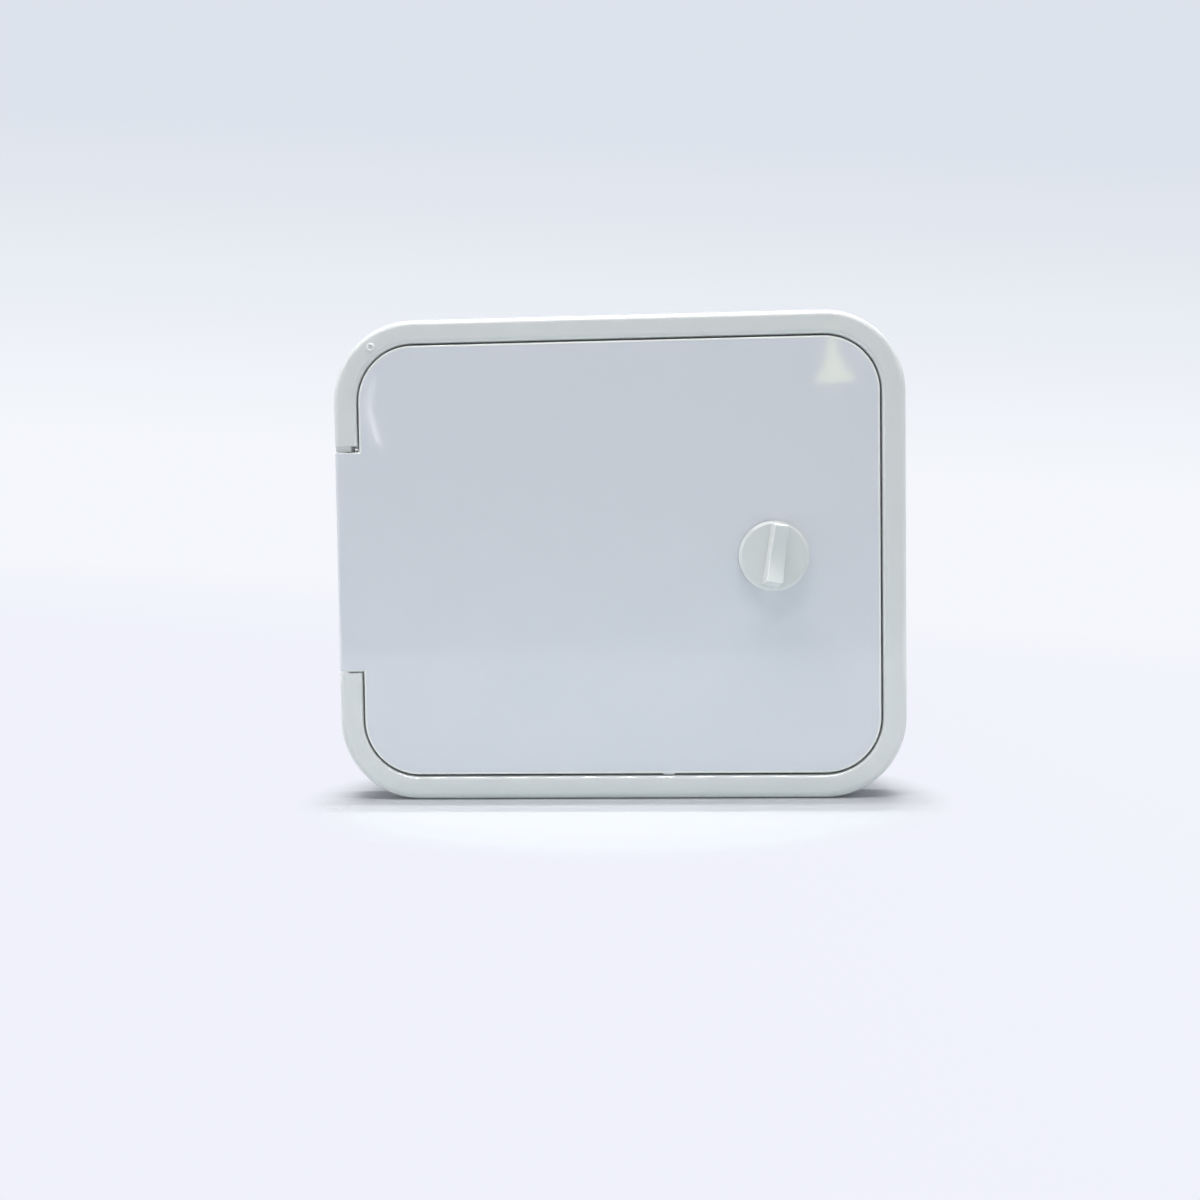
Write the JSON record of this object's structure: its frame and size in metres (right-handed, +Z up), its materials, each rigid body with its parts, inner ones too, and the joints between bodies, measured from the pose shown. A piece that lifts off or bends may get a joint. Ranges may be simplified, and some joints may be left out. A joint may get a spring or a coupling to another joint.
{
  "type": "caravan service hatch",
  "caption": "Rounded rectangular wall hatch of white moulded plastic: a surround with a wall collar, a side-hinged flush door and a thumb turn latch.",
  "frame": {"origin": "middle of the surround's back face, on the outer skin of the wall", "axes": "+Z up, +X to the right as seen from outside, +Y into the wall; the hatch faces -Y"},
  "size_m": [0.2176, 0.0528, 0.1846],
  "materials": {
    "white_plastic": "moulded, semi-gloss",
    "seal_rubber": "foam rubber with a skin",
    "steel": "zinc plated"
  },
  "bodies": {
    "surround": {"frame": "white_plastic", "door_seal": "seal_rubber", "hinge_pin_upper": "steel", "hinge_pin_lower": "steel"},
    "door": {"door_panel": "white_plastic"},
    "latch": {"thumb_turn": "white_plastic", "cam_washer": "steel", "latch_cam": "steel", "cam_screw": "steel"}
  },
  "joints": [
    {"name": "door_hinge", "type": "hinge", "parent": "surround", "child": "door", "pos_m": [-0.10475, -0.0115, 0], "axis": [0, 0, -1], "range_deg": [0, 170]},
    {"name": "latch_turn", "type": "hinge", "parent": "door", "child": "latch", "pos_m": [0.05875, -0.0145, 0], "axis": [0, 1, 0], "range_deg": [-8, 82]}
  ]
}
